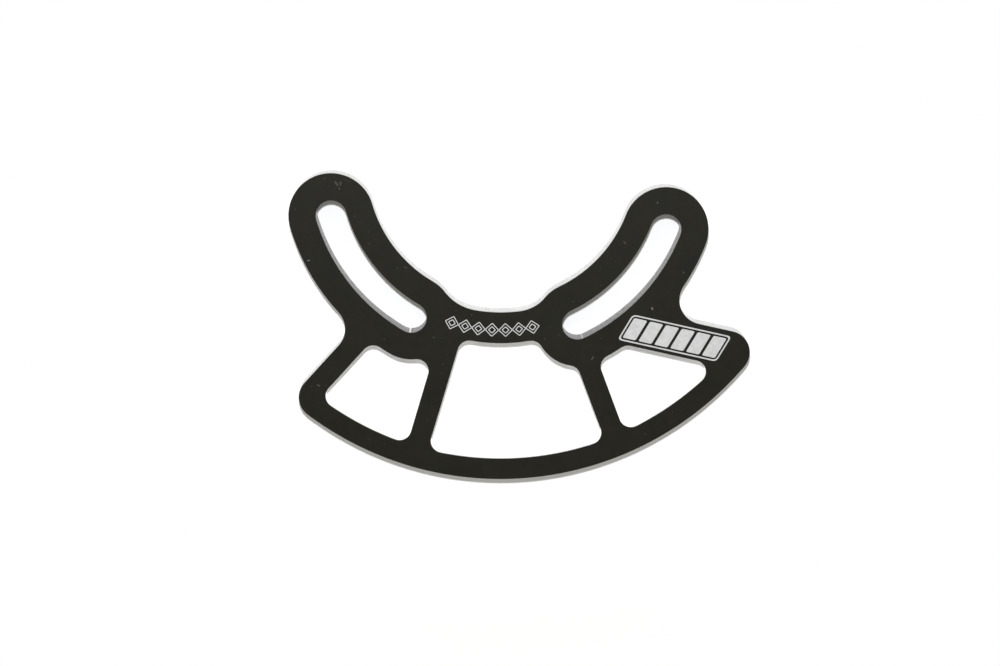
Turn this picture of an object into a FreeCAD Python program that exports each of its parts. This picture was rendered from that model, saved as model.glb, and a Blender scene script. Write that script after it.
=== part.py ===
import FreeCAD, Part
import Sketcher
import math
import os

# Chainring guard: one flat plate that bolts to the bottom bracket shell and shields the lower teeth.
# The origin is the crank axis on the back face, +Z leaves the front face, +Y points away from the rim.

# Lengths in millimetres, angles in degrees. Left and right are as seen from the front.
# Angles are about the crank axis, with the left slot's inner end turned from straight down.
# Each spoke lags inside its slot's inner end, and the left leg leads outside the left slot's.
# The right leg falls from level, and its lower edge drops past the right slot's inner end.
DIMENSIONS = {
    "plate_thickness": 6.0,
    "bolt_radius": 36.5,
    "bolt_spacing_angle": 100.0,
    "slot_width": 6.4,
    "slot_sweep_angle": 43.3,
    "slot_inner_angle": 30.8,
    "arm_wall": 5.65,
    "neck_setback": 2.65,
    "neck_width": 6.5,
    "rim_radius": 65.85,
    "rim_width": 4.4,
    "spoke_width": 4.45,
    "left_spoke_lag_angle": 14.2,
    "right_spoke_lag_angle": 5.5,
    "right_spoke_offset": 2.6,
    "left_leg_lead_angle": 11.5,
    "left_leg_width": 4.5,
    "right_leg_fall_angle": 12.8,
    "right_leg_drop": 2.0,
    "right_leg_width": 7.65,
    "left_neck_fillet": 10.0,
    "right_neck_fillet": 8.0,
    "root_fillet": 5.25,
    "toe_fillet": 4.55,
    "window_fillet": 2.5,
}

# Sizes that follow from the ones above, as sheet formulas. Directions are turned from +X.
DERIVED = {
    "arm_width": "slot_width + 2 * arm_wall",
    "arm_wall_radius": "bolt_radius + slot_width / 2 + arm_wall / 2",
    "neck_inner_radius": "bolt_radius - arm_width / 2 + neck_setback",
    "neck_outer_radius": "neck_inner_radius + neck_width",
    "neck_middle_radius": "neck_inner_radius + neck_width / 2",
    "rim_inner_radius": "rim_radius - rim_width",
    "rim_middle_radius": "rim_radius - rim_width / 2",
    "right_leg_direction": "180 - right_leg_fall_angle",
    "left_slot_inner_end": "270 - slot_inner_angle",
    "left_slot_outer_end": "left_slot_inner_end - slot_sweep_angle",
    "left_leg_direction": "left_slot_inner_end - left_leg_lead_angle",
    "left_spoke_angle": "slot_inner_angle - left_spoke_lag_angle",
    "right_slot_inner_end": "left_slot_outer_end + bolt_spacing_angle",
    "right_spoke_angle": "right_slot_inner_end - 270 - right_spoke_lag_angle",
    "right_leg_turn": "right_slot_inner_end - right_leg_direction - 90",
    "right_leg_far_distance": "bolt_radius * cos(right_leg_turn) + right_leg_drop",
    "right_leg_distance": "right_leg_far_distance - right_leg_width",
}

# Sketch numbers of the crank axis point and the upright axis, and of the ends and centre of an element.
AXIS, UPRIGHT = -1, -2
START, END, CENTRE = range(1, 4)

SAME_PLACE = 0.001
SHARP_ANGLE = math.radians(3.0)

doc = FreeCAD.newDocument("ChainringGuard")
sheet = doc.addObject("Spreadsheet::Sheet", "Sizes")
cells = {alias: str(value) for alias, value in DIMENSIONS.items()}
cells.update({alias: "=" + formula for alias, formula in DERIVED.items()})
for row, (alias, content) in enumerate(cells.items(), 1):
    sheet.set("A%d" % row, alias.replace("_", " "))
    sheet.set("B%d" % row, content)
    sheet.setAlias("B%d" % row, alias)
    doc.recompute()

body = doc.addObject("PartDesign::Body", "GuardPlate")
body.Label = "guard_plate"
origin_features = {feature.Role: feature for feature in body.Origin.OriginFeatures}


def size(expression):
    """Number that a sheet expression gives."""
    return float(sheet.evalExpression(expression))


def polar(radius, degrees):
    """Point at a radius and direction about the crank axis."""
    angle = math.radians(degrees)
    return FreeCAD.Vector(radius * math.cos(angle), radius * math.sin(angle), 0)


def line_beyond(direction, distance, radius):
    """Point where a line at a distance below the crank axis meets a circle, on the right."""
    along = math.sqrt(radius ** 2 - distance ** 2)
    return polar(distance, direction + 90) + polar(along, direction + 180)


def arc(radius, first, last, centre=FreeCAD.Vector()):
    """Arc that turns anticlockwise from the first direction to the last."""
    circle = Part.Circle(centre, FreeCAD.Vector(0, 0, 1), radius)
    return Part.ArcOfCircle(circle, math.radians(first), math.radians(last))


def new_sketch(name, elements):
    """Sketch on the back face that starts from the given elements."""
    sketch = body.newObject("Sketcher::SketchObject", name)
    sketch.AttachmentSupport = [(origin_features["XY_Plane"], "")]
    sketch.MapMode = "FlatFace"
    for element in elements:
        sketch.addGeometry(element, False)
    return sketch


def tie(sketch, kind, *terms):
    """Add a constraint that has no size."""
    sketch.addConstraint(Sketcher.Constraint(kind, *terms))


def close_loop(sketch, joints):
    """Join the ends of elements, given as (element, end, element, end)."""
    for joint in joints:
        tie(sketch, "Coincident", *joint)


def centre_on_axis(sketch, *arcs):
    """Put the centre of each arc on the crank axis."""
    for element in arcs:
        tie(sketch, "Coincident", element, CENTRE, AXIS, START)


def dimension(sketch, name, expression, kind, *terms):
    """Add a constraint whose size follows the sheet."""
    value = size(expression)
    if kind == "Angle":
        value = math.radians(value)
    index = sketch.addConstraint(Sketcher.Constraint(kind, *terms, value))
    sketch.renameConstraint(index, name)
    sketch.setExpression("Constraints." + name, expression)


def direction_guide(sketch, name, radius, direction):
    """Construction line from the crank axis, at a set direction and about as long as the radius."""
    tip = polar(size(radius), size(direction))
    guide = sketch.addGeometry(Part.LineSegment(FreeCAD.Vector(), tip), True)
    tie(sketch, "Coincident", guide, START, AXIS, START)
    dimension(sketch, name + "_direction", direction, "Angle", guide)
    return guide


def point_guide(sketch, name, radius, direction):
    """Construction line from the crank axis to a point at a set radius and direction."""
    guide = direction_guide(sketch, name, radius, direction)
    dimension(sketch, name + "_radius", radius, "Distance", guide, START, guide, END)
    return guide


def pad(name, sketch):
    """Raise a sketch through the plate's thickness."""
    feature = body.newObject("PartDesign::Pad", name)
    feature.Profile = sketch
    feature.setExpression("Length", "Sizes.plate_thickness")
    doc.recompute()
    return feature


def pocket(name, sketch):
    """Cut a sketch right through the plate, and make sure that it cut."""
    volume = body.Shape.Volume
    feature = body.newObject("PartDesign::Pocket", name)
    feature.Profile = sketch
    feature.Type = "ThroughAll"
    feature.Reversed = True
    doc.recompute()
    if body.Shape.Volume >= volume:
        raise RuntimeError(name + " cut nothing")
    return feature


def pair(name, feature):
    """Repeat a feature once about the crank axis, at the spacing of the two bolts."""
    pattern = body.newObject("PartDesign::PolarPattern", name)
    pattern.Originals = [feature]
    pattern.Axis = (origin_features["Z_Axis"], [""])
    pattern.Occurrences = 2
    pattern.setExpression("Angle", "Sizes.bolt_spacing_angle")
    body.Tip = pattern
    doc.recompute()
    return pattern


def outline_sketch():
    """Left leg's outer edge, the rim and the right leg's upper edge, closed by chords inside the arms."""
    left = size("Sizes.left_leg_direction")
    right = size("Sizes.right_leg_direction")
    distance = size("Sizes.right_leg_distance")
    wall = size("Sizes.arm_wall_radius")
    rim = size("Sizes.rim_radius")
    left_root = polar(wall, left)
    left_toe = polar(rim, left)
    right_toe = line_beyond(right, distance, rim)
    right_root = line_beyond(right, distance, wall)
    right_inner = polar(wall, size("Sizes.right_slot_inner_end"))
    left_inner = polar(wall, size("Sizes.left_slot_inner_end"))
    rim_end = 360 + math.degrees(math.atan2(right_toe.y, right_toe.x))
    sketch = new_sketch("OutlineSketch", [
        Part.LineSegment(left_root, left_toe),
        arc(rim, left, rim_end),
        Part.LineSegment(right_toe, right_root),
        Part.LineSegment(right_root, right_inner),
        Part.LineSegment(right_inner, left_inner),
        Part.LineSegment(left_inner, left_root),
    ])
    close_loop(sketch, [(first, END, (first + 1) % 6, START) for first in range(6)])
    centre_on_axis(sketch, 1)
    dimension(sketch, "rim_radius", "Sizes.rim_radius", "Radius", 1)
    tie(sketch, "PointOnObject", AXIS, START, 0)
    dimension(sketch, "left_leg_direction", "Sizes.left_leg_direction", "Angle", 0)
    dimension(sketch, "left_root_radius", "Sizes.arm_wall_radius", "Distance", 0, START, AXIS, START)
    dimension(sketch, "right_leg_direction", "Sizes.right_leg_direction", "Angle", 2)
    dimension(sketch, "right_leg_distance", "Sizes.right_leg_distance", "Distance", AXIS, START, 2)
    dimension(sketch, "right_root_radius", "Sizes.arm_wall_radius", "Distance", 2, END, AXIS, START)
    for name, direction, element in (
        ("right_inner", "Sizes.right_slot_inner_end", 3),
        ("left_inner", "Sizes.left_slot_inner_end", 4),
    ):
        guide = point_guide(sketch, name, "Sizes.arm_wall_radius", direction)
        tie(sketch, "Coincident", guide, END, element, END)
    return sketch


def sector_sketch():
    """Space inside the legs and the rim, which the spokes and arms later divide into three windows."""
    left = size("Sizes.left_leg_direction")
    right = size("Sizes.right_leg_direction")
    rim = size("Sizes.rim_inner_radius")
    inset = size("Sizes.left_leg_width")
    distance = size("Sizes.right_leg_far_distance")
    left_corner = polar(inset, left + 90) + polar(math.sqrt(rim ** 2 - inset ** 2), left)
    right_corner = line_beyond(right, distance, rim)
    meeting = math.radians(left - right)
    along = (distance - inset * math.cos(meeting)) / math.sin(meeting)
    apex = polar(inset, left + 90) + polar(along, left)
    first = math.degrees(math.atan2(left_corner.y, left_corner.x)) + 360
    last = math.degrees(math.atan2(right_corner.y, right_corner.x)) + 360
    sketch = new_sketch("SectorSketch", [
        Part.LineSegment(apex, left_corner),
        arc(rim, first, last),
        Part.LineSegment(right_corner, apex),
    ])
    close_loop(sketch, [(0, END, 1, START), (1, END, 2, START), (2, END, 0, START)])
    centre_on_axis(sketch, 1)
    dimension(sketch, "rim_inner_radius", "Sizes.rim_inner_radius", "Radius", 1)
    dimension(sketch, "left_leg_direction", "Sizes.left_leg_direction", "Angle", 0)
    dimension(sketch, "left_leg_width", "Sizes.left_leg_width", "Distance", AXIS, START, 0)
    dimension(sketch, "right_leg_direction", "Sizes.right_leg_direction", "Angle", 2)
    dimension(sketch, "right_leg_far_distance", "Sizes.right_leg_far_distance", "Distance", AXIS, START, 2)
    return sketch


def bent_slot_sketch(name, width):
    """Round-ended slot bent along the bolt circle, between the end centres of the left slot."""
    first = size("Sizes.left_slot_outer_end")
    last = size("Sizes.left_slot_inner_end")
    middle = size("Sizes.bolt_radius")
    half = size(width) / 2
    sketch = new_sketch(name, [
        arc(middle + half, first, last),
        arc(middle - half, first, last),
        arc(half, first + 180, first + 360, polar(middle, first)),
        arc(half, last, last + 180, polar(middle, last)),
    ])
    for joint in ((0, START, 2, END), (0, END, 3, START), (1, START, 2, START), (1, END, 3, END)):
        tie(sketch, "Tangent", *joint)
    centre_on_axis(sketch, 0, 1)
    dimension(sketch, "outer_radius", "Sizes.bolt_radius + %s / 2" % width, "Radius", 0)
    dimension(sketch, "inner_radius", "Sizes.bolt_radius - %s / 2" % width, "Radius", 1)
    for end_name, direction, element in (
        ("outer_end", "Sizes.left_slot_outer_end", 2),
        ("inner_end", "Sizes.left_slot_inner_end", 3),
    ):
        guide = direction_guide(sketch, end_name, "Sizes.bolt_radius", direction)
        tie(sketch, "Coincident", guide, END, element, CENTRE)
    return sketch


def fillet_centre(direction, radius, reach, side):
    """Centre of a fillet, at a radius from the crank axis and a reach from an arm's inner end centre."""
    middle = size("Sizes.bolt_radius")
    turn = math.acos((middle ** 2 + radius ** 2 - reach ** 2) / (2 * middle * radius))
    return polar(radius, direction + side * math.degrees(turn))


def direction_between(start, end):
    """Direction from one point to another, in degrees from 0 to 360."""
    return math.degrees(math.atan2(end.y - start.y, end.x - start.x)) % 360


def neck_sketch():
    """Curved band between the inner ends of the arms, with the fillets that run on to their round ends."""
    axis = FreeCAD.Vector()
    arm = size("Sizes.arm_width") / 2
    inner = size("Sizes.neck_inner_radius")
    outer = size("Sizes.neck_outer_radius")
    left_fillet = size("Sizes.left_neck_fillet")
    right_fillet = size("Sizes.right_neck_fillet")
    window_fillet = size("Sizes.window_fillet")
    left = size("Sizes.left_slot_inner_end")
    right = size("Sizes.right_slot_inner_end")
    left_end = polar(size("Sizes.bolt_radius"), left)
    right_end = polar(size("Sizes.bolt_radius"), right)
    left_centre = fillet_centre(left, inner - left_fillet, arm + left_fillet, 1)
    right_centre = fillet_centre(right, inner - right_fillet, arm + right_fillet, -1)
    window_centre = fillet_centre(right, outer + window_fillet, arm + window_fillet, -1)
    left_turn = direction_between(axis, left_centre)
    right_turn = direction_between(axis, right_centre)
    window_turn = direction_between(axis, window_centre)
    left_touch = left_end + polar(arm, direction_between(left_end, left_centre))
    right_touch = right_end + polar(arm, direction_between(right_end, right_centre))
    window_touch = right_end + polar(arm, direction_between(right_end, window_centre))
    sketch = new_sketch("NeckSketch", [
        arc(inner, left_turn, right_turn),
        arc(left_fillet, direction_between(left_centre, left_end), left_turn, left_centre),
        arc(right_fillet, right_turn, direction_between(right_centre, right_end), right_centre),
        Part.LineSegment(right_touch, window_touch),
        arc(window_fillet, direction_between(window_centre, right_end), window_turn - 180, window_centre),
        arc(outer, left, window_turn),
        Part.LineSegment(polar(outer, left), left_touch),
    ])
    for joint in ((0, START, 1, END), (0, END, 2, START), (4, END, 5, END)):
        tie(sketch, "Tangent", *joint)
    close_loop(sketch, [(2, END, 3, START), (3, END, 4, START), (5, START, 6, START), (6, END, 1, START)])
    centre_on_axis(sketch, 0, 5)
    dimension(sketch, "inner_radius", "Sizes.neck_inner_radius", "Radius", 0)
    dimension(sketch, "left_neck_fillet", "Sizes.left_neck_fillet", "Radius", 1)
    dimension(sketch, "right_neck_fillet", "Sizes.right_neck_fillet", "Radius", 2)
    dimension(sketch, "window_fillet", "Sizes.window_fillet", "Radius", 4)
    dimension(sketch, "outer_radius", "Sizes.neck_outer_radius", "Radius", 5)
    left_guide = point_guide(sketch, "left_end", "Sizes.bolt_radius", "Sizes.left_slot_inner_end")
    right_guide = point_guide(sketch, "right_end", "Sizes.bolt_radius", "Sizes.right_slot_inner_end")
    tie(sketch, "PointOnObject", 5, START, left_guide)
    for name, guide, element, end, centre, touch in (
        ("left_touch", left_guide, 1, START, left_end, left_touch),
        ("right_touch", right_guide, 2, END, right_end, right_touch),
        ("window_touch", right_guide, 4, START, right_end, window_touch),
    ):
        arm_radius = sketch.addGeometry(Part.LineSegment(centre, touch), True)
        tie(sketch, "Coincident", arm_radius, START, guide, END)
        tie(sketch, "Coincident", arm_radius, END, element, end)
        tie(sketch, "PointOnObject", element, CENTRE, arm_radius)
        dimension(sketch, name, "Sizes.arm_width / 2", "Distance", arm_radius, START, arm_radius, END)
    return sketch


def spoke_sketch(name, turn, offset):
    """Straight bar from the neck to the rim, on a sketch turned about the crank axis and moved sideways."""
    half = size("Sizes.spoke_width") / 2
    top = -size("Sizes.neck_middle_radius")
    bottom = -size("Sizes.rim_middle_radius")
    corners = [
        FreeCAD.Vector(-half, top, 0),
        FreeCAD.Vector(-half, bottom, 0),
        FreeCAD.Vector(half, bottom, 0),
        FreeCAD.Vector(half, top, 0),
    ]
    sides = [Part.LineSegment(corners[side], corners[(side + 1) % 4]) for side in range(4)]
    sketch = new_sketch(name, sides)
    sketch.setExpression("AttachmentOffset.Rotation.Angle", turn)
    sketch.setExpression("AttachmentOffset.Base.x", "%s * cos(%s)" % (offset, turn))
    sketch.setExpression("AttachmentOffset.Base.y", "%s * sin(%s)" % (offset, turn))
    close_loop(sketch, [(side, END, (side + 1) % 4, START) for side in range(4)])
    tie(sketch, "Vertical", 0)
    tie(sketch, "Horizontal", 1)
    tie(sketch, "Vertical", 2)
    tie(sketch, "Symmetric", 3, START, 3, END, UPRIGHT)
    dimension(sketch, "spoke_width", "Sizes.spoke_width", "DistanceX", 1, START, 1, END)
    dimension(sketch, "neck_end", "Sizes.neck_middle_radius", "DistanceY", 3, START, AXIS, START)
    dimension(sketch, "rim_end", "Sizes.rim_middle_radius", "DistanceY", 1, START, AXIS, START)
    return sketch


def wall_direction(face, point):
    """Outward direction of a wall at a point on it."""
    return face.normalAt(*face.Surface.parameter(point))


def sharp_corners():
    """Upright edges of the plate where two walls meet at an angle, as (edge name, point)."""
    shape = body.Shape
    corners = []
    for number, edge in enumerate(shape.Edges, 1):
        low, high = edge.Vertexes[0].Point, edge.Vertexes[-1].Point
        if math.hypot(low.x - high.x, low.y - high.y) > SAME_PLACE or edge.Length < SAME_PLACE:
            continue
        first, second = [wall_direction(face, low) for face in shape.ancestorsOfType(edge, Part.Face)]
        if first.getAngle(second) > SHARP_ANGLE:
            corners.append(("Edge%d" % number, low))
    return corners


def by_rim(point):
    """Whether a corner lies out on the rim."""
    return math.hypot(point.x, point.y) > size("Sizes.rim_middle_radius")


def on_outer_edge(point):
    """Whether a corner lies on the outer edge of the left leg or the upper edge of the right leg."""
    left_distance = point.dot(polar(1, size("Sizes.left_leg_direction") + 90))
    right_distance = point.dot(polar(1, size("Sizes.right_leg_direction") + 90))
    on_left = abs(left_distance) < SAME_PLACE
    on_right = abs(right_distance - size("Sizes.right_leg_distance")) < SAME_PLACE
    return on_left or on_right


def round_corners(name, radius, chosen):
    """Fillet the sharp corners that a rule chooses."""
    edges = [edge for edge, point in sharp_corners() if chosen(point)]
    base = body.Tip
    feature = body.newObject("PartDesign::Fillet", name)
    feature.Base = (base, edges)
    feature.setExpression("Radius", "Sizes." + radius)
    doc.recompute()


# The rim and legs, cut from one outline.
pad("Outline", outline_sketch())
pocket("Sector", sector_sketch())

# The two arms, then the neck and spokes that tie them to the rim.
pair("Arms", pad("Arm", bent_slot_sketch("ArmSketch", "Sizes.arm_width")))
pad("Neck", neck_sketch())
pad("LeftSpoke", spoke_sketch("LeftSpokeSketch", "-Sizes.left_spoke_angle", "0"))
pad("RightSpoke", spoke_sketch("RightSpokeSketch", "Sizes.right_spoke_angle", "Sizes.right_spoke_offset"))

# The bolt slots, cut once the arms are joined to everything.
pair("Slots", pocket("Slot", bent_slot_sketch("SlotSketch", "Sizes.slot_width")))

# The rounded corners, outside ones first; what is left sharp after them is the windows' corners.
round_corners("ToeFillet", "toe_fillet", lambda point: by_rim(point) and on_outer_edge(point))
round_corners("RootFillet", "root_fillet", on_outer_edge)
round_corners("WindowFillet", "window_fillet", lambda point: True)

for part_object in doc.Objects:
    if "Invalid" in part_object.State or "Error" in part_object.State:
        raise RuntimeError(part_object.Name + " failed to build")
if body.Shape.isNull() or not body.Shape.isValid() or len(body.Shape.Solids) != 1:
    raise RuntimeError("the plate is not one sound solid")

os.makedirs("parts", exist_ok=True)
body.Shape.exportStep(os.path.join("parts", body.Label + ".step"))
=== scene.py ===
import math

import bmesh
import bpy
import numpy as np
from mathutils import Matrix, Vector
from mathutils.geometry import tessellate_polygon


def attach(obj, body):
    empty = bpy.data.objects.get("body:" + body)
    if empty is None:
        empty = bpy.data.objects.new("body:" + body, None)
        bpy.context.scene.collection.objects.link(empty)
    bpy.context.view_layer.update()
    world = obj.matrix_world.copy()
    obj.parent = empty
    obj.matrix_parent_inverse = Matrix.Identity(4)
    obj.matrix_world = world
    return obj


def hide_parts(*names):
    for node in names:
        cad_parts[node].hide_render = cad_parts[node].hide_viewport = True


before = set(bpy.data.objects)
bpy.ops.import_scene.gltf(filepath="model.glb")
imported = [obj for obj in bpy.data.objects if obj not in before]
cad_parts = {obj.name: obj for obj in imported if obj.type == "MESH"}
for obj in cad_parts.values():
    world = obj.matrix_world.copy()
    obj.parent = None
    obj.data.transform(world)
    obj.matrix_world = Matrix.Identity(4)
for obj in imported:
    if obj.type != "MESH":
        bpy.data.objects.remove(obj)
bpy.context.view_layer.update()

# Shapes are worked out in millimetres, from the crank axis, and put into the meshes in metres.
MM = 0.001

# Corners of a square about its middle, anticlockwise, in half sides.
SQUARE = ((-1, -1), (1, -1), (1, 1), (-1, 1))

# The plate. The slots lie within their reach of the crank axis, and the windows go beyond it.
THICKNESS = 6.0
EDGE_BREAK = 0.03
SLOT_REACH = 42.0

# The outline is read from the CAD node's front face and smoothed. Sides over the straight length stay straight.
CORNER_DECIMALS = 4
FLAT_ROOM = 0.01
STRAIGHT_LENGTH = 3.8
PATH_STEP = 0.3
SEAM = 0.002
SHARP_ANGLE = 28.0

# Engraved marks: a panel of bars along the right leg, and a row of double lozenges round the neck.
ENGRAVING_DEPTH = 0.04
CORNER_STEPS = 5
PANEL_CENTRE = (36.2, -35.75)
LEG_FALL = -12.8
PANEL_SLANT = 0.32
PANEL_HALF = (10.6, 2.95)
PANEL_CUTS = (0.9, 0.7)
PANEL_LINE = 0.3
PANEL_GAP = 0.36
BAR_COUNT = 6
BAR_GAP = 0.62
BAR_CUT = 0.35
NECK_RADIUS = 34.0
LOZENGE_HALVES = ((1.55, 1.5), (0.85, 0.8))
LOZENGE_CUTS = (0.25, 0.12)
LOZENGE_LINE = 0.18
LOZENGE_DIRECTIONS = np.linspace(252.5, 281.1, 7)
STRAIGHT_DOWN = 270.0


def unit(vectors):
    """Vectors divided by their lengths."""
    return vectors / np.linalg.norm(vectors, axis=-1, keepdims=True)


def front_loops(node):
    """Boundary loops of a node's front face, in order, with the metal on the left of each, widest first.

    An edge of a front triangle whose reverse is missing lies on the boundary. Each such edge points to the
    next corner. Doubling the jump labels every corner with its loop's lowest corner, and then counts how far
    it is from the loop's last corner, which gives the order.
    """
    mesh = node.data
    mesh.calc_loop_triangles()
    places = np.empty(len(mesh.vertices) * 3)
    mesh.vertices.foreach_get("co", places)
    places = places.reshape(-1, 3) / MM
    triangles = np.empty(len(mesh.loop_triangles) * 3, int)
    mesh.loop_triangles.foreach_get("vertices", triangles)
    corners, names = np.unique(np.round(places, CORNER_DECIMALS), axis=0, return_inverse=True)
    triangles = names.reshape(-1)[triangles].reshape(-1, 3)
    front = triangles[np.all(corners[triangles, 2] > THICKNESS - FLAT_ROOM, axis=1)]
    edges = np.concatenate([front[:, [0, 1]], front[:, [1, 2]], front[:, [2, 0]]])
    count = len(corners)
    forward = edges[:, 0] * count + edges[:, 1]
    backward = edges[:, 1] * count + edges[:, 0]
    edges = edges[~np.isin(forward, backward)]
    itself = np.arange(count)
    after = itself.copy()
    after[edges[:, 0]] = edges[:, 1]
    doublings = range(int(math.ceil(math.log2(count))))
    label, jump = itself.copy(), after.copy()
    for _ in doublings:
        label = np.minimum(label, label[jump])
        jump = jump[jump]
    jump = np.where(after == label, itself, after)
    left = (jump != itself).astype(int)
    for _ in doublings:
        left = left + left[jump]
        jump = jump[jump]
    order = np.lexsort((-left, label))
    order = order[np.isin(order, edges[:, 0])]
    breaks = np.flatnonzero(np.diff(label[order])) + 1
    loops = [corners[loop, :2] for loop in np.split(order, breaks)]
    return sorted(loops, key=lambda loop: -np.ptp(loop[:, 0]))


def smooth_path(corners):
    """Closed curve through corners, with the outward direction and the length run at each point.

    A long side is straight. At any other corner the tangent is that of the circle through it and its two
    neighbours. Each side is then the cubic with those end tangents, divided into short steps.
    """
    side = np.roll(corners, -1, 0) - corners
    length = np.linalg.norm(side, axis=1)
    heading = side / length[:, None]
    straight = length > STRAIGHT_LENGTH
    before, before_length = np.roll(heading, 1, 0), np.roll(length, 1)
    tangent = unit(before * length[:, None] + heading * before_length[:, None])
    tangent = np.where(straight[:, None], heading, tangent)
    tangent = np.where(np.roll(straight, 1)[:, None], before, tangent)
    steps = np.ceil(length / PATH_STEP).astype(int)
    which = np.repeat(np.arange(len(corners)), steps)
    along = (np.arange(len(which)) - np.repeat(np.cumsum(steps) - steps, steps)) / steps[which]
    t = along[:, None]
    start, end = corners[which], np.roll(corners, -1, 0)[which]
    pull_start = tangent[which] * length[which, None]
    pull_end = np.roll(tangent, -1, 0)[which] * length[which, None]
    points = ((2 * t ** 3 - 3 * t ** 2 + 1) * start + (t ** 3 - 2 * t ** 2 + t) * pull_start
              + (3 * t ** 2 - 2 * t ** 3) * end + (t ** 3 - t ** 2) * pull_end)
    slope = ((6 * t ** 2 - 6 * t) * start + (3 * t ** 2 - 4 * t + 1) * pull_start
             + (6 * t - 6 * t ** 2) * end + (3 * t ** 2 - 2 * t) * pull_end)
    outward = unit(np.stack([slope[:, 1], -slope[:, 0]], 1))
    run = np.concatenate([[0], np.cumsum(np.linalg.norm(np.roll(points, -1, 0) - points, axis=1))])
    return points, outward, run


def rounded(corners, cut):
    """Polygon whose corners are parabolas that leave both sides at the same cut from the corner."""
    corners = np.asarray(corners, float)
    first = corners + unit(np.roll(corners, 1, 0) - corners) * cut
    last = corners + unit(np.roll(corners, -1, 0) - corners) * cut
    t = np.linspace(0, 1, CORNER_STEPS)[None, :, None]
    curve = (1 - t) ** 2 * first[:, None] + 2 * t * (1 - t) * corners[:, None] + t ** 2 * last[:, None]
    return curve.reshape(-1, 2)


def slanted(half_length, half_height, middle=0.0):
    """Corners of a parallelogram, anticlockwise, whose upright sides lean by the panel's slant."""
    corners = np.array(SQUARE) * (half_length, half_height)
    corners[:, 0] += middle + corners[:, 1] * PANEL_SLANT
    return corners


def placed(points, centre, degrees):
    """Points turned by an angle and moved to a centre."""
    angle = math.radians(degrees)
    turn = np.array([(math.cos(angle), math.sin(angle)), (-math.sin(angle), math.cos(angle))])
    return points @ turn + np.asarray(centre)


def panel_marks():
    """Loops of the leg's panel: the outside and inside of a thin slanted frame, and a row of equal bars."""
    length, height = PANEL_HALF
    lean = math.sqrt(1 + PANEL_SLANT ** 2)
    outer = rounded(slanted(length, height), PANEL_CUTS[0])
    inner = rounded(slanted(length - PANEL_LINE * lean, height - PANEL_LINE), PANEL_CUTS[1])
    gap = PANEL_LINE + PANEL_GAP
    room = 2 * (length - gap * lean)
    bar = (room - (BAR_COUNT - 1) * BAR_GAP) / BAR_COUNT
    middles = -room / 2 + bar / 2 + np.arange(BAR_COUNT) * (bar + BAR_GAP)
    bars = [rounded(slanted(bar / 2, height - gap, middle), BAR_CUT) for middle in middles]
    outer, inner, *bars = [placed(shape, PANEL_CENTRE, LEG_FALL) for shape in [outer, inner] + bars]
    return outer, inner, bars


def lozenge_marks():
    """Loops of the neck's row of double lozenges, spaced evenly round the crank axis, from outside in."""
    loops = []
    for width, height in LOZENGE_HALVES:
        corners = np.array([(-width, 0), (0, -height), (width, 0), (0, height)])
        shrink = 1 - LOZENGE_LINE * math.hypot(width, height) / (width * height)
        loops += [rounded(corners, LOZENGE_CUTS[0]), rounded(corners * shrink, LOZENGE_CUTS[1])]
    marks = []
    for direction in LOZENGE_DIRECTIONS:
        angle = math.radians(direction)
        centre = (NECK_RADIUS * math.cos(angle), NECK_RADIUS * math.sin(angle))
        marks.append([placed(loop, centre, direction - STRAIGHT_DOWN) for loop in loops])
    return marks


def linked(name, data):
    """New object in the scene that holds a mesh, a lamp or a camera."""
    holder = bpy.data.objects.new(name, data)
    bpy.context.scene.collection.objects.link(holder)
    return holder


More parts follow.
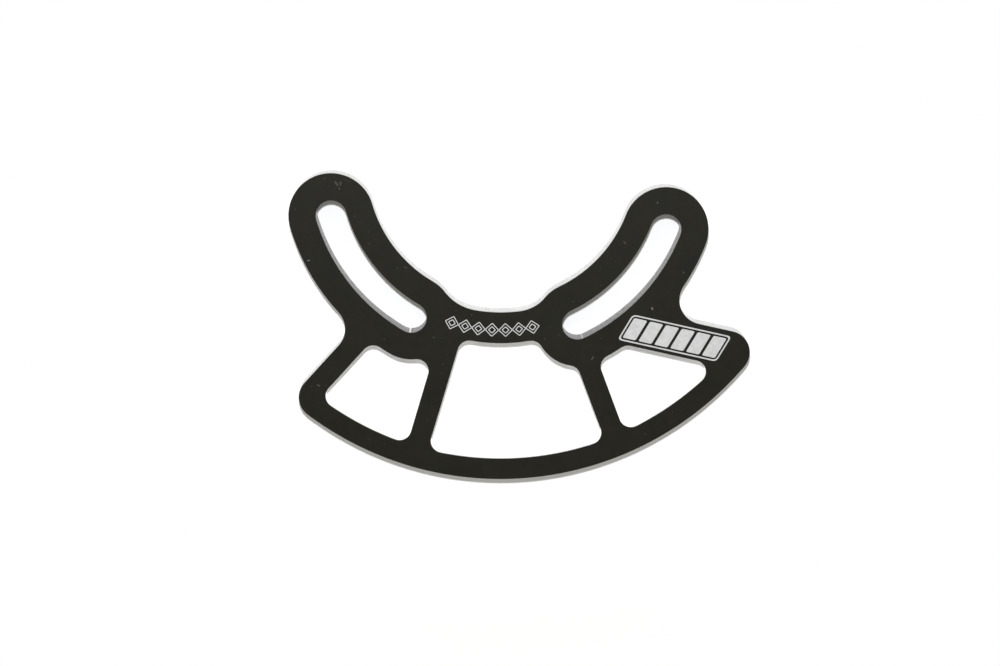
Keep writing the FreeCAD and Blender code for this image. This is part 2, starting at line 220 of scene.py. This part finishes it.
class Shell:
    """Mesh put together from caps and walls, with a material number for each face and a path map."""

    def __init__(self):
        self.places, self.faces, self.materials, self.maps = [], [], [], []
        self.count = 0

    def add(self, places, faces, material, path):
        """Places with their path map, and faces of one material that number these places from 0."""
        self.places.append(places)
        self.faces += (faces + self.count).tolist()
        self.materials += [material] * len(faces)
        self.maps.append(path[faces].reshape(-1, 2))
        self.count += len(places)

    def cap(self, loops, height, material, up=True):
        """Flat triangles that fill the first loop and leave the others open."""
        flat = np.concatenate(loops)
        places = np.column_stack([flat, np.full(len(flat), height)])
        outlines = [[Vector((x, y, 0)) for x, y in loop] for loop in loops]
        faces = np.array(tessellate_polygon(outlines))
        a, b, c = flat[faces[:, 0]], flat[faces[:, 1]], flat[faces[:, 2]]
        turn = (b[:, 0] - a[:, 0]) * (c[:, 1] - a[:, 1]) - (b[:, 1] - a[:, 1]) * (c[:, 0] - a[:, 0])
        faces = np.where(((turn > 0) == up)[:, None], faces, faces[:, ::-1])
        self.add(places, faces, material, flat)

    def wall(self, points, outward, run, profile, material):
        """Band swept along a path: a profile of (inset, height) pairs carried by the outward direction."""
        inset, height = np.array(profile).T
        count, rows = len(points), len(profile)
        rings = points[None] - inset[:, None, None] * outward[None]
        places = np.concatenate([rings, np.broadcast_to(height[:, None, None], (rows, count, 1))], 2)
        places = np.concatenate([places, places[:, :1]], 1)
        path = np.stack(np.broadcast_arrays(run[None], height[:, None]), 2)
        grid = np.arange(rows * (count + 1)).reshape(rows, count + 1)
        faces = np.stack([grid[:-1, :-1], grid[:-1, 1:], grid[1:, 1:], grid[1:, :-1]], -1).reshape(-1, 4)
        self.add(places.reshape(-1, 3), faces, material, path.reshape(-1, 2))

    def build(self, name, materials):
        """Mesh object with its seams merged, and smooth wherever the surface doesn't turn sharply."""
        mesh = bpy.data.meshes.new(name)
        mesh.from_pydata(np.concatenate(self.places) * MM, [], self.faces)
        mesh.polygons.foreach_set("material_index", self.materials)
        path = mesh.uv_layers.new(name="Path")
        path.uv.foreach_set("vector", np.concatenate(self.maps).ravel())
        for material in materials:
            mesh.materials.append(material)
        seams = bmesh.new()
        seams.from_mesh(mesh)
        bmesh.ops.remove_doubles(seams, verts=seams.verts, dist=SEAM * MM)
        seams.to_mesh(mesh)
        seams.free()
        mesh.shade_smooth()
        mesh.set_sharp_from_angle(angle=math.radians(SHARP_ANGLE))
        return linked(name, mesh)


class Signal:
    """Shader value that takes part in ordinary arithmetic."""

    def __init__(self, shader, socket):
        self.shader, self.socket = shader, socket

    def maths(self, operation, *terms):
        """Result of one operation on its terms."""
        return self.shader.out("ShaderNodeMath", 0, {"operation": operation}, dict(enumerate(terms)))

    def __add__(self, other):
        return self.maths("ADD", self, other)

    def __radd__(self, other):
        return self.maths("ADD", other, self)

    def __sub__(self, other):
        return self.maths("SUBTRACT", self, other)

    def __rsub__(self, other):
        return self.maths("SUBTRACT", other, self)

    def __mul__(self, other):
        return self.maths("MULTIPLY", self, other)

    def __truediv__(self, other):
        return self.maths("DIVIDE", self, other)

    def __pow__(self, power):
        return self.maths("POWER", self, power)

    def least(self, other):
        """The smaller of two values."""
        return self.maths("MINIMUM", self, other)

    def most(self, other):
        """The larger of two values."""
        return self.maths("MAXIMUM", self, other)

    def swing(self, share):
        """Distance from one half, times a share."""
        return (self - 0.5) * share

    def step(self, low, high):
        """0 up to the low value and 1 from the high one, with an eased rise or fall between."""
        settings = {"interpolation_type": "SMOOTHSTEP"}
        inputs = {"Value": self, "From Min": low, "From Max": high, "To Min": 0.0, "To Max": 1.0}
        return self.shader.out("ShaderNodeMapRange", 0, settings, inputs)


class Shader:
    """Node tree of a material or the world."""

    def __init__(self, owner):
        owner.use_nodes = True
        self.tree = owner.node_tree
        self.tree.nodes.clear()

    def feed(self, socket, value):
        """A link or a plain value for a socket."""
        if isinstance(value, Signal):
            self.tree.links.new(value.socket, socket)
        else:
            socket.default_value = value

    def add(self, kind, settings=(), inputs=()):
        """Any node: its settings first, then the values or links of its sockets."""
        node = self.tree.nodes.new(kind)
        for key, value in dict(settings).items():
            setattr(node, key, value)
        for key, value in dict(inputs).items():
            self.feed(node.inputs[key], value)
        return node

    def out(self, kind, output, settings=(), inputs=()):
        """One output of a new node."""
        return Signal(self, self.add(kind, settings, inputs).outputs[output])

    def scaled(self, vector, factors):
        """Vector times a factor for each axis."""
        settings = {"operation": "MULTIPLY"}
        return self.out("ShaderNodeVectorMath", 0, settings, {0: vector, 1: factors})

    def parts(self, vector):
        """First two parts of a vector."""
        split = self.add("ShaderNodeSeparateXYZ", {}, {0: vector})
        return Signal(self, split.outputs[0]), Signal(self, split.outputs[1])

    def place(self):
        """Place on the part, in millimetres."""
        return self.scaled(self.out("ShaderNodeTexCoord", "Object"), (1.0 / MM,) * 3)

    def noise(self, vector, scale, detail, roughness):
        """Cloudy value from 0 to 1."""
        inputs = {"Vector": vector, "Scale": scale, "Detail": detail, "Roughness": roughness}
        return self.out("ShaderNodeTexNoise", 0, {}, inputs)

    def mix(self, factor, low, high):
        """Colour between two colours."""
        node = self.add("ShaderNodeMix", {"data_type": "RGBA"}, {0: factor})
        for number, colour in ((6, low), (7, high)):
            self.feed(node.inputs[number], colour if isinstance(colour, Signal) else (*colour, 1.0))
        return Signal(self, node.outputs[2])

    def bump(self, height, distance):
        """Normal of a surface raised by a height, in metres of full rise."""
        return self.out("ShaderNodeBump", 0, {}, {"Height": height, "Distance": distance, "Strength": 1.0})

    def glow(self, colour):
        """Light given off in a colour."""
        return self.out("ShaderNodeEmission", 0, {}, {"Color": (*colour, 1.0), "Strength": 1.0})

    def blend(self, factor, first, second):
        """Surface between two surfaces."""
        return self.out("ShaderNodeMixShader", 0, {}, {0: factor, 1: first, 2: second})

    def surface(self, **inputs):
        """Principled surface, wired to the material's output."""
        named = {key.replace("_", " "): value for key, value in inputs.items()}
        shade = self.out("ShaderNodeBsdfPrincipled", 0, {}, named)
        self.add("ShaderNodeOutputMaterial", {}, {"Surface": shade})


def new_material(name):
    """Empty material and its shader."""
    material = bpy.data.materials.new(name)
    return material, Shader(material)


# Every noise is given by its scale for each millimetre, its detail and its roughness.
# The black face: dark and light tone, a warmer tone in places, worn metal, gloss and relief in metres.
FACE_TONES = ((0.0056, 0.0053, 0.0027), (0.0104, 0.0098, 0.0058))
FACE_CLOUD = (0.16, 4.0, 0.6)
FACE_PATCH = (0.9, 3.0, 0.55)
FACE_GRAIN = (9.0, 2.0, 0.6)
FACE_SPAN = (0.3, 0.7)
WARM_TONE = (0.0105, 0.0078, 0.0035)
WARM_CLOUD = (0.35, 2.0, 0.5)
WARM_SPAN = (0.4, 0.75)
WARM_SHARE = 0.5
WORN_TONE = (0.30, 0.30, 0.28)
FACE_ROUGHNESS = 0.46
FACE_GLOSS = 0.10
FACE_RELIEF = 0.000004

# Pinholes: cells for each millimetre, the random draws that choose and size them, and sizes in cells.
PINHOLE_CELLS = 0.33
PINHOLE_CHOICE = (0.7, 0.74)
PINHOLE_GROWTH = (0.72, 1.0)
PINHOLE_RADIUS = 0.045
PINHOLE_EDGE = 0.012
PINHOLE_STRENGTH = 0.10

# Pale scuffs on the front face: ends and half width in millimetres, and strength.
SCUFFS = (
    ((-34.2, -3.0), (-33.75, -3.6), 0.17, 0.16),
    ((-33.05, -3.0), (-33.15, -3.6), 0.13, 0.18),
    ((-33.4, -4.3), (-33.36, -4.42), 0.12, 0.20),
    ((-32.6, -2.25), (-31.2, -3.0), 0.06, 0.07),
    ((-40.1, -19.3), (-39.7, -19.3), 0.13, 0.34),
    ((32.3, -7.3), (32.4, -7.4), 0.12, 0.28),
    ((25.4, -15.4), (25.8, -15.8), 0.10, 0.18),
    ((31.4, -29.4), (31.5, -29.6), 0.17, 0.48),
    ((18.9, -40.3), (19.3, -39.7), 0.10, 0.24),
    ((-38.4, -45.6), (-37.9, -45.8), 0.10, 0.26),
    ((-14.2, -35.6), (-13.9, -35.5), 0.10, 0.14),
    ((37.8, -21.8), (38.0, -22.1), 0.11, 0.16),
    ((-20.0, -20.7), (-19.6, -20.9), 0.10, 0.14),
)
SCUFF_WOBBLE = 0.12
STROKE_EDGE = (1.6, 0.3)

# The bare walls: dark and light tones, cutter marks stretched along the wall and down it, the line between
# two cuts, and the black lip that runs over from the face.
OUTLINE_WALL_TONES = ((0.48, 0.476, 0.467), (0.67, 0.666, 0.653))
# The windows' walls are the same aluminium painted lighter: painted light.
WINDOW_WALL_LIT_TONES = ((0.70, 0.694, 0.681), (0.97, 0.964, 0.945))
# The slots' walls are the same aluminium painted darker for the shade in the narrow slots: painted shade.
SLOT_WALL_SHADED_TONES = ((0.099, 0.097, 0.095), (0.284, 0.279, 0.271))
FINE_STRETCH, FINE_MARKS = (5.0, 0.25, 1.0), (1.0, 3.0, 0.6)
BROAD_STRETCH, BROAD_MARKS = (0.8, 0.12, 1.0), (1.0, 2.0, 0.5)
WALL_SPAN = (0.25, 0.75)
WALL_ROUGHNESS = 0.40
WALL_RELIEF = 0.00002
CUT_LINE_HEIGHT = THICKNESS * 0.52
CUT_LINE_SPREAD = 0.012
CUT_LINE_SHARE = 0.3
LIP_TONE = (0.02, 0.02, 0.02)
LIP_HEIGHTS = (THICKNESS - 0.7, THICKNESS - 0.21)
LIP_SHARE = 0.75

# Lines down the slots' walls where the cutter stopped, their brightness a painted highlight: ends and half
# width, and strength.
DWELL_GLINTS = (
    ((-19.05, -34.53), (-18.9, -34.54), 0.12, 0.9),
    ((16.9, -35.88), (17.0, -35.85), 0.12, 0.4),
)
DWELL_GLINT_TONE = (0.9, 0.9, 0.9)

# The engraving: dark and light tones, fine hatching and clouds.
ENGRAVED_TONES = ((0.43, 0.435, 0.428), (0.57, 0.575, 0.565))
HATCH_STRETCH, HATCH = (2.0, 14.0, 1.0), (1.0, 2.0, 0.5)
ENGRAVED_CLOUD = (1.1, 3.0, 0.5)
ENGRAVED_SPAN = (0.3, 0.7)
ENGRAVED_ROUGHNESS = 0.55
ENGRAVED_METAL = 0.15
ENGRAVED_RELIEF = 0.000006


def stroke(x, y, start, end, half_width, wobble):
    """Mask of a short stroke: 1 on the line between two points, fading to 0 round its half width."""
    span = (end[0] - start[0], end[1] - start[1])
    across, up = x - start[0], y - start[1]
    share = (across * span[0] + up * span[1]) / (span[0] ** 2 + span[1] ** 2)
    share = share.most(0.0).least(1.0)
    gap_x, gap_y = across - share * span[0], up - share * span[1]
    distance = (gap_x * gap_x + gap_y * gap_y) ** 0.5
    return (distance + wobble).step(half_width * STROKE_EDGE[0], half_width * STROKE_EDGE[1])


def strokes(x, y, marks, wobble):
    """Mask of several strokes, each with its own strength: the largest of them at every place."""
    mask = 0.0
    for start, end, half_width, strength in marks:
        mask = (stroke(x, y, start, end, half_width, wobble) * strength).most(mask)
    return mask


def black_face_material():
    """Black anodised face: cloudy tone, fine grain, a few pinholes and pale scuffs.

    The tone is half clouds, three tenths patches and two tenths grain. The warmth is one more cloud, read at
    the place mirrored to the other side. Each cell has a random draw: the highest draws have a pinhole, and
    the higher the draw, the larger it is. Patches and grain roughen the face, and wear smooths and lowers it.
    """
    material, shader = new_material("black_anodised_face")
    place = shader.place()
    x, y = shader.parts(place)
    cloud = shader.noise(place, *FACE_CLOUD)
    patch = shader.noise(place, *FACE_PATCH)
    grain = shader.noise(place, *FACE_GRAIN)
    tone = (cloud * 0.5 + patch * 0.3 + grain * 0.2).step(*FACE_SPAN)
    base = shader.mix(tone, *FACE_TONES)
    warm = shader.noise(shader.scaled(place, (1.0, 1.0, -1.0)), *WARM_CLOUD).step(*WARM_SPAN)
    base = shader.mix(warm * WARM_SHARE, base, WARM_TONE)
    cells = {"Vector": place, "Scale": PINHOLE_CELLS, "Randomness": 1.0}
    cell = shader.add("ShaderNodeTexVoronoi", {"voronoi_dimensions": "2D"}, cells)
    distance, colour = [Signal(shader, cell.outputs[name]) for name in ("Distance", "Color")]
    draw = shader.out("ShaderNodeSeparateColor", 0, {}, {0: colour})
    past = distance - draw.step(*PINHOLE_GROWTH) * PINHOLE_RADIUS
    pinhole = past.step(PINHOLE_EDGE, 0.0) * draw.step(*PINHOLE_CHOICE)
    worn = strokes(x, y, SCUFFS, patch.swing(SCUFF_WOBBLE)).most(pinhole * PINHOLE_STRENGTH)
    base = shader.mix(worn, base, WORN_TONE)
    roughness = FACE_ROUGHNESS + patch.swing(0.16) + grain.swing(0.12) - worn * 0.1
    normal = shader.bump(grain * 0.7 + patch * 0.6 - worn * 1.5, FACE_RELIEF)
    shader.surface(Base_Color=base, Roughness=roughness, Normal=normal, Specular_IOR_Level=FACE_GLOSS)
    return material


def bare_wall_material(name, dark, light):
    """Bare milled aluminium: upright cutter marks, a faint line between two cuts, and a black upper lip.

    The tone is 65 parts of fine marks and 35 of broad ones. The higher the fine marks are, the smoother the
    wall, and the higher the broad ones, the rougher.
    """
    material, shader = new_material(name)
    x, y = shader.parts(shader.place())
    path = shader.out("ShaderNodeUVMap", 0, {"uv_map": "Path"})
    fine = shader.noise(shader.scaled(path, FINE_STRETCH), *FINE_MARKS)
    broad = shader.noise(shader.scaled(path, BROAD_STRETCH), *BROAD_MARKS)
    _, height = shader.parts(path)
    off_line = height - CUT_LINE_HEIGHT
    line = (off_line * off_line).step(CUT_LINE_SPREAD, 0.0)
    tone = (fine * 0.65 + broad * 0.35).step(*WALL_SPAN)
    base = shader.mix(tone, dark, light)
    base = shader.mix(line * CUT_LINE_SHARE, base, dark)
    # Painted highlight: the lines where the cutter stopped are lightened to a near-white tone.
    base = shader.mix(strokes(x, y, DWELL_GLINTS, 0.0), base, DWELL_GLINT_TONE)
    base = shader.mix(height.step(*LIP_HEIGHTS) * LIP_SHARE, base, LIP_TONE)
    roughness = WALL_ROUGHNESS - fine.swing(0.25) + broad.swing(0.15)
    normal = shader.bump(fine + line * 0.4, WALL_RELIEF)
    shader.surface(Base_Color=base, Roughness=roughness, Normal=normal, Metallic=1.0)
    return material


def engraved_material():
    """Silver-grey engraving: finely hatched metal laid bare under the black, half hatching and half clouds."""
    material, shader = new_material("engraved_silver")
    place = shader.place()
    hatch = shader.noise(shader.scaled(place, HATCH_STRETCH), *HATCH)
    cloud = shader.noise(place, *ENGRAVED_CLOUD)
    tone = (hatch * 0.5 + cloud * 0.5).step(*ENGRAVED_SPAN)
    base = shader.mix(tone, *ENGRAVED_TONES)
    roughness = ENGRAVED_ROUGHNESS + cloud.swing(0.2)
    normal = shader.bump(hatch, ENGRAVED_RELIEF)
    shader.surface(Base_Color=base, Roughness=roughness, Normal=normal, Metallic=ENGRAVED_METAL)
    return material


# Material numbers on the plate.
BLACK, OUTLINE_WALL, LIT_WINDOW_WALL, SHADED_SLOT_WALL, SILVER = range(5)


def add_walls(shell, paths):
    """Walls along the outline, which is the first path, and along the openings, with black broken edges."""
    top = THICKNESS - EDGE_BREAK
    for number, (points, outward, run) in enumerate(paths):
        reach = np.linalg.norm(points, axis=1).max()
        # Slot walls take the tones with painted shade, window walls the tones with painted light.
        finish = OUTLINE_WALL if number == 0 else SHADED_SLOT_WALL if reach < SLOT_REACH else LIT_WINDOW_WALL
        shell.wall(points, outward, run, [(EDGE_BREAK, 0.0), (0.0, EDGE_BREAK)], BLACK)
        shell.wall(points, outward, run, [(0.0, EDGE_BREAK), (0.0, top)], finish)
        shell.wall(points, outward, run, [(0.0, top), (EDGE_BREAK, THICKNESS)], BLACK)


def add_faces(shell, edges):
    """Plain back and the front with its engraved marks, within the inner edges of the broken corners."""
    frame_outer, frame_inner, bars = panel_marks()
    lozenges = lozenge_marks()
    shell.cap(edges, 0.0, BLACK, up=False)
    shell.cap(edges + [frame_outer] + [mark[0] for mark in lozenges], THICKNESS, BLACK)
    shell.cap([frame_inner] + bars, THICKNESS, BLACK)
    floor = THICKNESS - ENGRAVING_DEPTH
    shell.cap([frame_outer, frame_inner], floor, SILVER)
    for bar in bars:
        shell.cap([bar], floor, SILVER)
    for mark in lozenges:
        shell.cap(mark[0:2], floor, SILVER)
        shell.cap(mark[1:3], THICKNESS, BLACK)
        shell.cap(mark[2:4], floor, SILVER)
        shell.cap(mark[3:4], THICKNESS, BLACK)
    holes = [frame_outer] + bars + [loop for mark in lozenges for loop in mark[0::2]]
    islands = [frame_inner] + [loop for mark in lozenges for loop in mark[1::2]]
    for loop in [hole[::-1] for hole in holes] + islands:
        run = np.arange(len(loop) + 1.0)
        shell.wall(loop, np.zeros_like(loop), run, [(0.0, floor), (0.0, THICKNESS)], SILVER)


def build_plate():
    """Plate with walls swept along the CAD outline, flat faces between them and engraved marks."""
    shell = Shell()
    paths = [smooth_path(loop) for loop in front_loops(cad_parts["guard_plate"])]
    add_walls(shell, paths)
    add_faces(shell, [points - EDGE_BREAK * outward for points, outward, _ in paths])
    return shell.build("plate", [
        black_face_material(),
        bare_wall_material("bare_milled_wall", *OUTLINE_WALL_TONES),
        # One aluminium in three tones: the window copy has painted light, the slot copy painted shade.
        bare_wall_material("bare_window_wall_painted_light", *WINDOW_WALL_LIT_TONES),
        bare_wall_material("bare_slot_wall_painted_shade", *SLOT_WALL_SHADED_TONES),
        engraved_material(),
    ])


plate = build_plate()
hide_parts("guard_plate")
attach(plate, "root")

# The stage, in metres: a white sheet, even warm light from all round, and one small cool lamp above the
# crank's side. Together the two light the sheet white, and the shadows keep the warm light alone.
WHITE = (1.0, 1.0, 1.0)
FILL = 0.325
FILL_TINT = (1.0, 0.966, 0.875)
LAMP_POWER = 2.715
LAMP_TINT = (0.955, 0.968, 1.0)
LAMP_PLACE = (-0.011, 0.143, 0.54)
LAMP_AIM = (0.0, -0.035, 0.0)
LAMP_SIZE = 0.03

# The sheet shows the plate's shadow up to the first distance from the plate's middle, and is plain white
# from the second.
SHEET_HALF = 3.0
SHEET_LEVEL = -2e-5
SHEET_TONE = (0.98, 0.98, 0.977)
SHEET_GLOW = (0.022, 0.022, 0.022)
PLATE_MIDDLE = (0.004, -0.0335, 0.0)
SHADOW_REACH = (0.057, 0.082)

# The camera's axes are its right, its up and its back.
CAMERA_LENS, CAMERA_SENSOR = 93.6, 36.0
CAMERA_CLIP = (0.01, 20.0)
CAMERA_PLACE = (-0.00495, 0.05977, 0.5395)
CAMERA_AXES = ((0.99996, 0.0, 0.00886), (0.00154, 0.98471, -0.17421), (-0.00873, 0.17422, 0.98467))


def seen_directly(shader):
    """1 for the rays that show the surroundings: from the camera, off a gloss or through glass."""
    path = shader.add("ShaderNodeLightPath")
    names = ("Is Camera Ray", "Is Glossy Ray", "Is Transmission Ray")
    camera, gloss, glass = [Signal(shader, path.outputs[name]) for name in names]
    return camera.most(gloss).most(glass)


def build_floor():
    """Square white sheet just under the plate.

    Seen directly, it has a faint even glow near the plate, and is plain white beyond the plate's shadow.
    """
    mesh = bpy.data.meshes.new("floor")
    mesh.from_pydata([(x * SHEET_HALF, y * SHEET_HALF, SHEET_LEVEL) for x, y in SQUARE], [], [(0, 1, 2, 3)])
    material, shader = new_material("white_sheet")
    ends = {0: shader.out("ShaderNodeTexCoord", "Object"), 1: PLATE_MIDDLE}
    reach = shader.out("ShaderNodeVectorMath", "Value", {"operation": "DISTANCE"}, ends)
    seen = seen_directly(shader)
    sheet = shader.out("ShaderNodeBsdfDiffuse", 0, {}, {"Color": (*SHEET_TONE, 1.0)})
    glowing = shader.out("ShaderNodeAddShader", 0, {}, {0: sheet, 1: shader.glow(SHEET_GLOW)})
    near = shader.blend(seen, sheet, glowing)
    shade = shader.blend(reach.step(*SHADOW_REACH) * seen, near, shader.glow(WHITE))
    shader.add("ShaderNodeOutputMaterial", {}, {"Surface": shade})
    mesh.materials.append(material)
    return linked("floor", mesh)


def build_light():
    """World that lights evenly and looks white, and one round lamp that aims at the plate."""
    world = bpy.data.worlds.new("studio")
    bpy.context.scene.world = world
    shader = Shader(world)
    seen = seen_directly(shader)
    strength = FILL + seen * (1.0 - FILL)
    tint = shader.mix(seen, FILL_TINT, WHITE)
    light = shader.out("ShaderNodeBackground", 0, {}, {"Color": tint, "Strength": strength})
    shader.add("ShaderNodeOutputWorld", {}, {"Surface": light})
    lamp = bpy.data.lights.new("lamp", "AREA")
    lamp.shape, lamp.size, lamp.energy, lamp.color = "DISK", LAMP_SIZE, LAMP_POWER, LAMP_TINT
    aim = Vector(LAMP_AIM) - Vector(LAMP_PLACE)
    turn = aim.to_track_quat("-Z", "Y").to_matrix().to_4x4()
    linked("lamp", lamp).matrix_world = Matrix.Translation(LAMP_PLACE) @ turn


def build_camera():
    """Camera almost straight above the plate, leaning ten degrees from the crank's side."""
    camera = bpy.data.cameras.new("camera")
    camera.lens, camera.sensor_width = CAMERA_LENS, CAMERA_SENSOR
    camera.clip_start, camera.clip_end = CAMERA_CLIP
    holder = linked("camera", camera)
    holder.matrix_world = Matrix.Translation(CAMERA_PLACE) @ Matrix(CAMERA_AXES).transposed().to_4x4()
    bpy.context.scene.camera = holder


build_floor()
build_light()
build_camera()
bpy.context.scene.view_settings.view_transform = "Standard"
